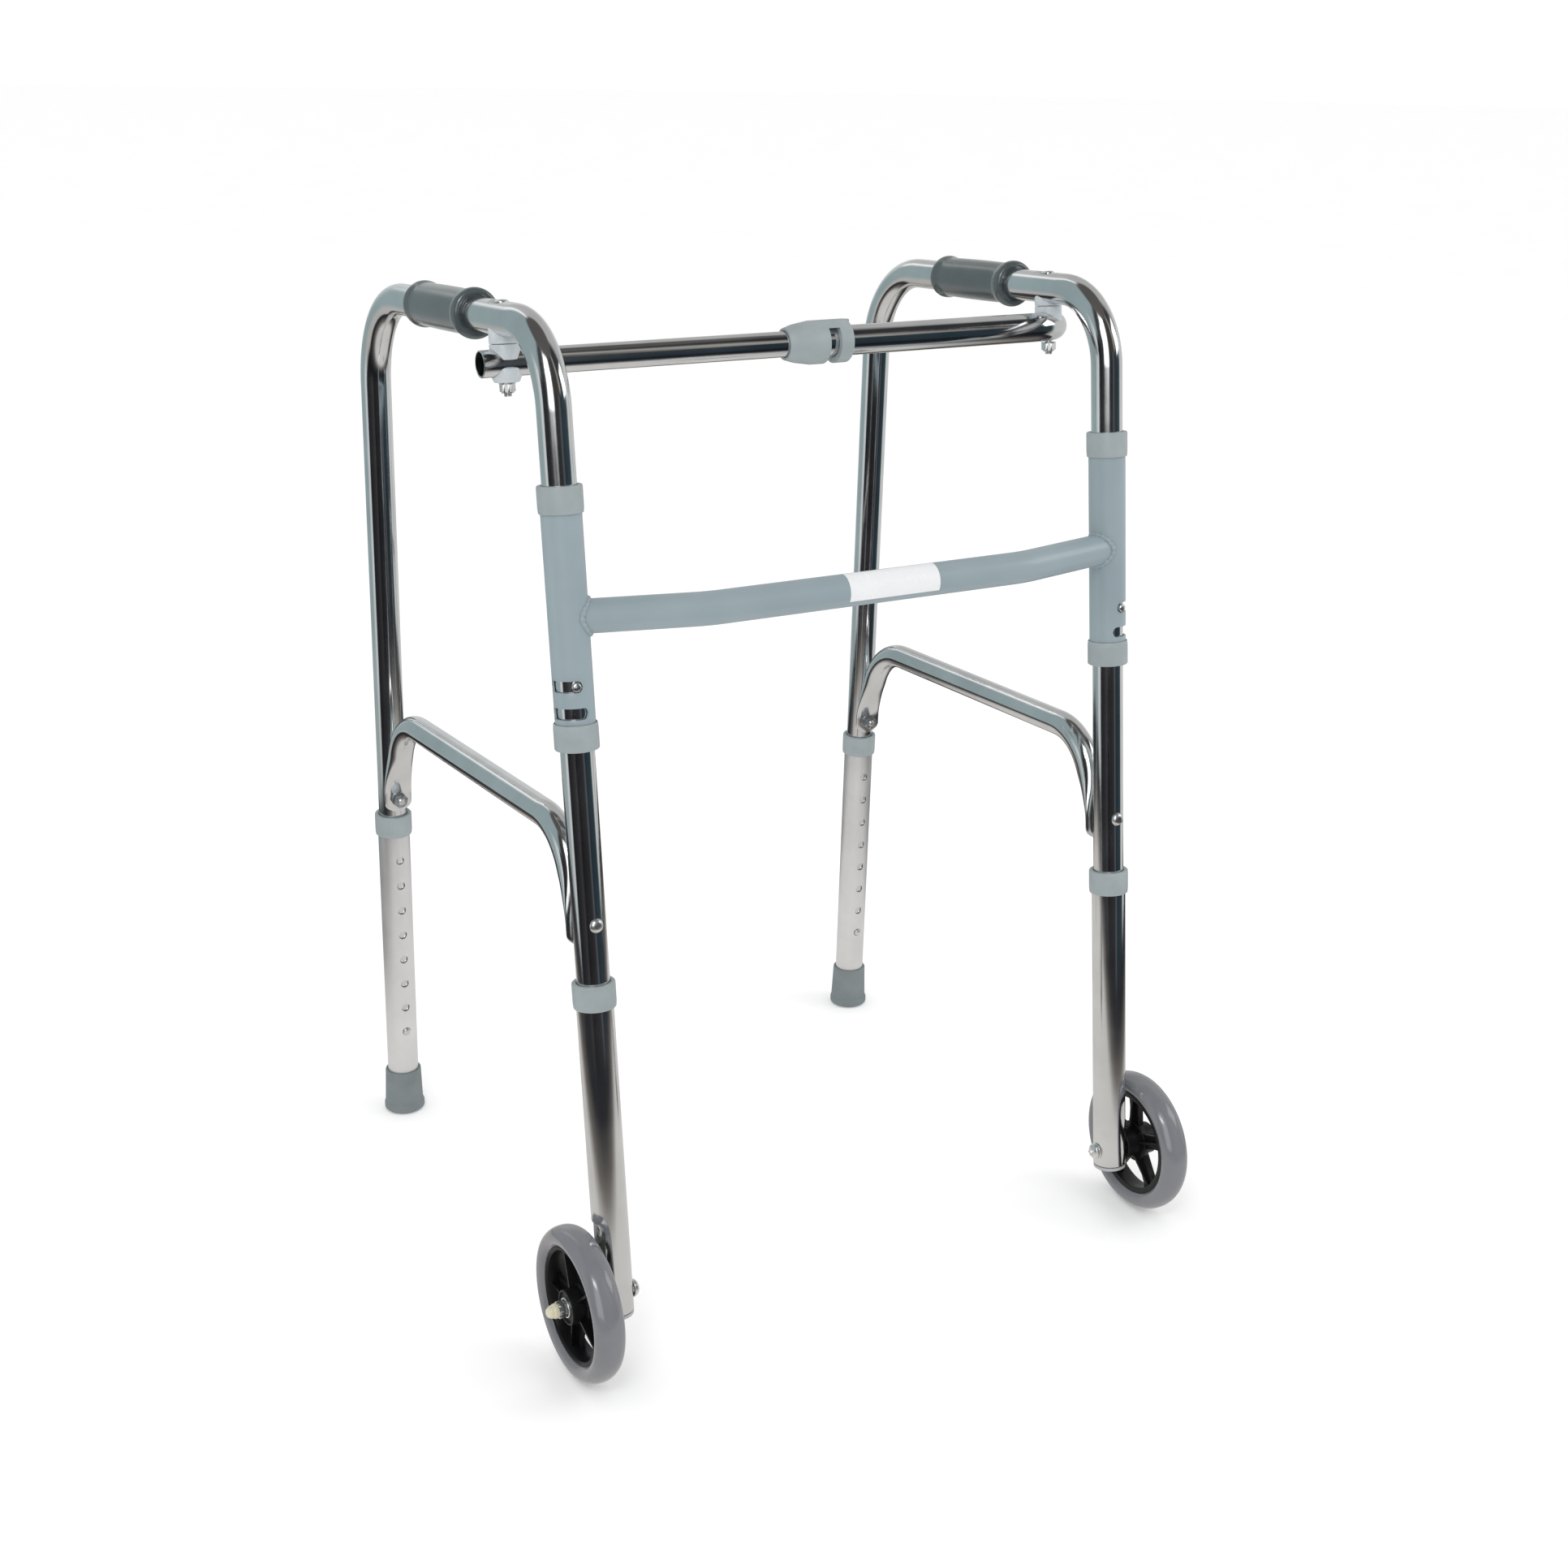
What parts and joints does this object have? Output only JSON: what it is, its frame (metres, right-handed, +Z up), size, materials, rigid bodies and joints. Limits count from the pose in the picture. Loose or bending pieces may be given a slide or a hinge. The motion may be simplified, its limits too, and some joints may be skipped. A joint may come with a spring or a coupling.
{
  "type": "folding walking frame with front wheels",
  "caption": "Folding height-adjustable walking frame with front wheels, rear rubber feet, hand grips and a telescopic top bar.",
  "frame": {"origin": "centre of the bounding box, on the floor", "axes": "+Z up, -Y the front (wheels and crossbar), +X the user's left"},
  "size_m": [0.599, 0.551, 0.8087],
  "materials": {
    "polished_aluminium": "bright polished anodised tube",
    "satin_aluminium": "satin anodised tube",
    "painted_steel": "semi-gloss powder coat, light grey-green",
    "grey_plastic": "satin moulded plastic",
    "pale_plastic": "translucent whitish moulded plastic",
    "grip_vinyl": "smooth soft vinyl with a moulded sheen",
    "foot_rubber": "matt grey rubber",
    "tyre_rubber": "smooth grey tyre, slightly glossy",
    "black_plastic": "black moulded nylon",
    "plated_steel": "bright zinc or chrome plate"
  },
  "bodies": {
    "front_frame": {"crossbar": "painted_steel", "right_sleeve": "painted_steel", "left_sleeve": "painted_steel", "right_upper_bush": "grey_plastic", "right_lower_bush": "grey_plastic", "left_upper_bush": "grey_plastic", "left_lower_bush": "grey_plastic"},
    "bar_outer": {"bar_outer_tube": "polished_aluminium", "latch_spring": "plated_steel", "left_pivot_spacer": "pale_plastic"},
    "latch": {"latch_sleeve": "grey_plastic"},
    "bar_lock": {"bar_lock_slug": "pale_plastic"},
    "bar_inner": {"bar_inner_tube": "polished_aluminium", "right_pivot_spacer": "pale_plastic", "right_lower_saddle": "pale_plastic", "right_pivot_nut": "plated_steel"},
    "right_side_frame": {"right_side_tube": "polished_aluminium", "right_hand_grip": "grip_vinyl", "right_brace": "polished_aluminium", "right_brace_bolt": "plated_steel", "right_brace_rivet": "plated_steel", "right_pivot_bolt": "plated_steel", "right_pivot_saddle": "pale_plastic"},
    "right_front_leg": {"right_front_leg_tube": "polished_aluminium", "right_front_leg_collar": "grey_plastic", "right_wheel_leg_plug": "grey_plastic", "right_axle_bolt": "plated_steel", "right_axle_nut": "plated_steel"},
    "right_wheel": {"right_tyre": "tyre_rubber", "right_wheel_hub": "black_plastic", "right_wheel_bearing": "plated_steel"},
    "right_rear_leg": {"right_rear_leg_tube": "satin_aluminium", "right_rear_leg_collar": "grey_plastic", "right_foot": "foot_rubber"},
    "right_sleeve_button": {"right_sleeve_button": "plated_steel"},
    "right_front_leg_button": {"right_front_leg_button": "plated_steel"},
    "right_rear_leg_button": {"right_rear_leg_button": "plated_steel"},
    "left_side_frame": {"left_side_tube": "polished_aluminium", "left_hand_grip": "grip_vinyl", "left_brace": "polished_aluminium", "left_brace_bolt": "plated_steel", "left_brace_rivet": "plated_steel", "left_pivot_bolt": "plated_steel", "left_pivot_saddle": "pale_plastic", "left_pivot_nut": "plated_steel"},
    "left_front_leg": {"left_front_leg_tube": "polished_aluminium", "left_front_leg_collar": "grey_plastic", "left_wheel_leg_plug": "grey_plastic", "left_axle_bolt": "plated_steel", "left_axle_nut": "plated_steel"},
    "left_wheel": {"left_tyre": "tyre_rubber", "left_wheel_hub": "black_plastic", "left_wheel_bearing": "plated_steel"},
    "left_rear_leg": {"left_rear_leg_tube": "satin_aluminium", "left_rear_leg_collar": "grey_plastic", "left_foot": "foot_rubber"},
    "left_sleeve_button": {"left_sleeve_button": "plated_steel"},
    "left_front_leg_button": {"left_front_leg_button": "plated_steel"},
    "left_rear_leg_button": {"left_rear_leg_button": "plated_steel"}
  },
  "joints": [
    {"name": "left_fold", "type": "hinge", "parent": "front_frame", "child": "left_side_frame", "pos_m": [0.241, -0.22009, 0.00003], "axis": [0, 0.1167, 0.9932], "range_deg": [0, 76]},
    {"name": "right_fold", "type": "hinge", "parent": "front_frame", "child": "right_side_frame", "pos_m": [-0.241, -0.22009, 0.00003], "axis": [0, -0.1167, -0.9932], "range_deg": [0, 26]},
    {"name": "bar_turn", "type": "hinge", "parent": "left_side_frame", "child": "bar_outer", "pos_m": [0.2427, -0.04911, 0.76058], "axis": [0, -0.1167, -0.9932], "range_deg": [0, 84.39]},
    {"name": "bar_shorten_with_right", "type": "slide", "parent": "bar_outer", "child": "bar_lock", "axis": [0.9999, -0.0114, 0.0013], "range_m": [0, 0.03598]},
    {"name": "bar_shorten_with_left", "type": "slide", "parent": "bar_lock", "child": "bar_inner", "axis": [0.9999, -0.0114, 0.0013], "range_m": [0, 0.07598]},
    {"name": "latch_slide", "type": "slide", "parent": "bar_outer", "child": "latch", "axis": [0.9999, -0.0114, 0.0013], "range_m": [0, 0.006], "stiffness_N_per_m": 600, "springref_m": -0.004, "deforming": ["latch_spring"]},
    {"name": "right_front_leg_slide", "type": "slide", "parent": "right_side_frame", "child": "right_front_leg", "axis": [0, -0.1167, -0.9932], "range_m": [0, 0.127], "deforming": ["right_front_leg_button"]},
    {"name": "right_rear_leg_slide", "type": "slide", "parent": "right_side_frame", "child": "right_rear_leg", "axis": [-0.0031, 0.0328, -0.9995], "range_m": [0, 0.1778], "deforming": ["right_rear_leg_button"]},
    {"name": "right_wheel_spin", "type": "hinge", "parent": "right_front_leg", "child": "right_wheel", "pos_m": [-0.27099, -0.21338, 0.06261], "axis": [0.9998, 0.0208, -0.0024], "continuous": true},
    {"name": "right_sleeve_button_press", "type": "slide", "parent": "right_side_frame", "child": "right_sleeve_button", "axis": [0.2215, 0.9685, -0.1138], "range_m": [0, 0.0049], "stiffness_N_per_m": 1500, "springref_m": -0.003},
    {"name": "right_front_leg_button_press", "type": "slide", "parent": "right_side_frame", "child": "right_front_leg_button", "axis": [0.0209, -0.993, 0.1166], "range_m": [0, 0.0042], "stiffness_N_per_m": 1500, "springref_m": -0.003},
    {"name": "right_rear_leg_button_press", "type": "slide", "parent": "right_side_frame", "child": "right_rear_leg_button", "axis": [-0.0207, 0.9992, 0.0328], "range_m": [0, 0.0042], "stiffness_N_per_m": 1500, "springref_m": -0.003},
    {"name": "left_front_leg_slide", "type": "slide", "parent": "left_side_frame", "child": "left_front_leg", "axis": [0, -0.1167, -0.9932], "range_m": [0, 0.127], "deforming": ["left_front_leg_button"]},
    {"name": "left_rear_leg_slide", "type": "slide", "parent": "left_side_frame", "child": "left_rear_leg", "axis": [0.0031, 0.0328, -0.9995], "range_m": [0, 0.1778], "deforming": ["left_rear_leg_button"]},
    {"name": "left_wheel_spin", "type": "hinge", "parent": "left_front_leg", "child": "left_wheel", "pos_m": [0.27099, -0.21338, 0.06261], "axis": [0.9998, -0.0208, 0.0024], "continuous": true},
    {"name": "left_sleeve_button_press", "type": "slide", "parent": "left_side_frame", "child": "left_sleeve_button", "axis": [-0.2215, 0.9685, -0.1138], "range_m": [0, 0.0049], "stiffness_N_per_m": 1500, "springref_m": -0.003},
    {"name": "left_front_leg_button_press", "type": "slide", "parent": "left_side_frame", "child": "left_front_leg_button", "axis": [-0.0209, -0.993, 0.1166], "range_m": [0, 0.0042], "stiffness_N_per_m": 1500, "springref_m": -0.003},
    {"name": "left_rear_leg_button_press", "type": "slide", "parent": "left_side_frame", "child": "left_rear_leg_button", "axis": [0.0207, 0.9992, 0.0328], "range_m": [0, 0.0042], "stiffness_N_per_m": 1500, "springref_m": -0.003}
  ],
  "couplings": [
    {"joint": "bar_turn", "follows": "left_fold", "ratio": 1.1082},
    {"joint": "bar_shorten_with_right", "follows": "right_fold", "m_per_rad": 0.07913},
    {"joint": "bar_shorten_with_left", "follows": "left_fold", "m_per_rad": 0.057165}
  ]
}
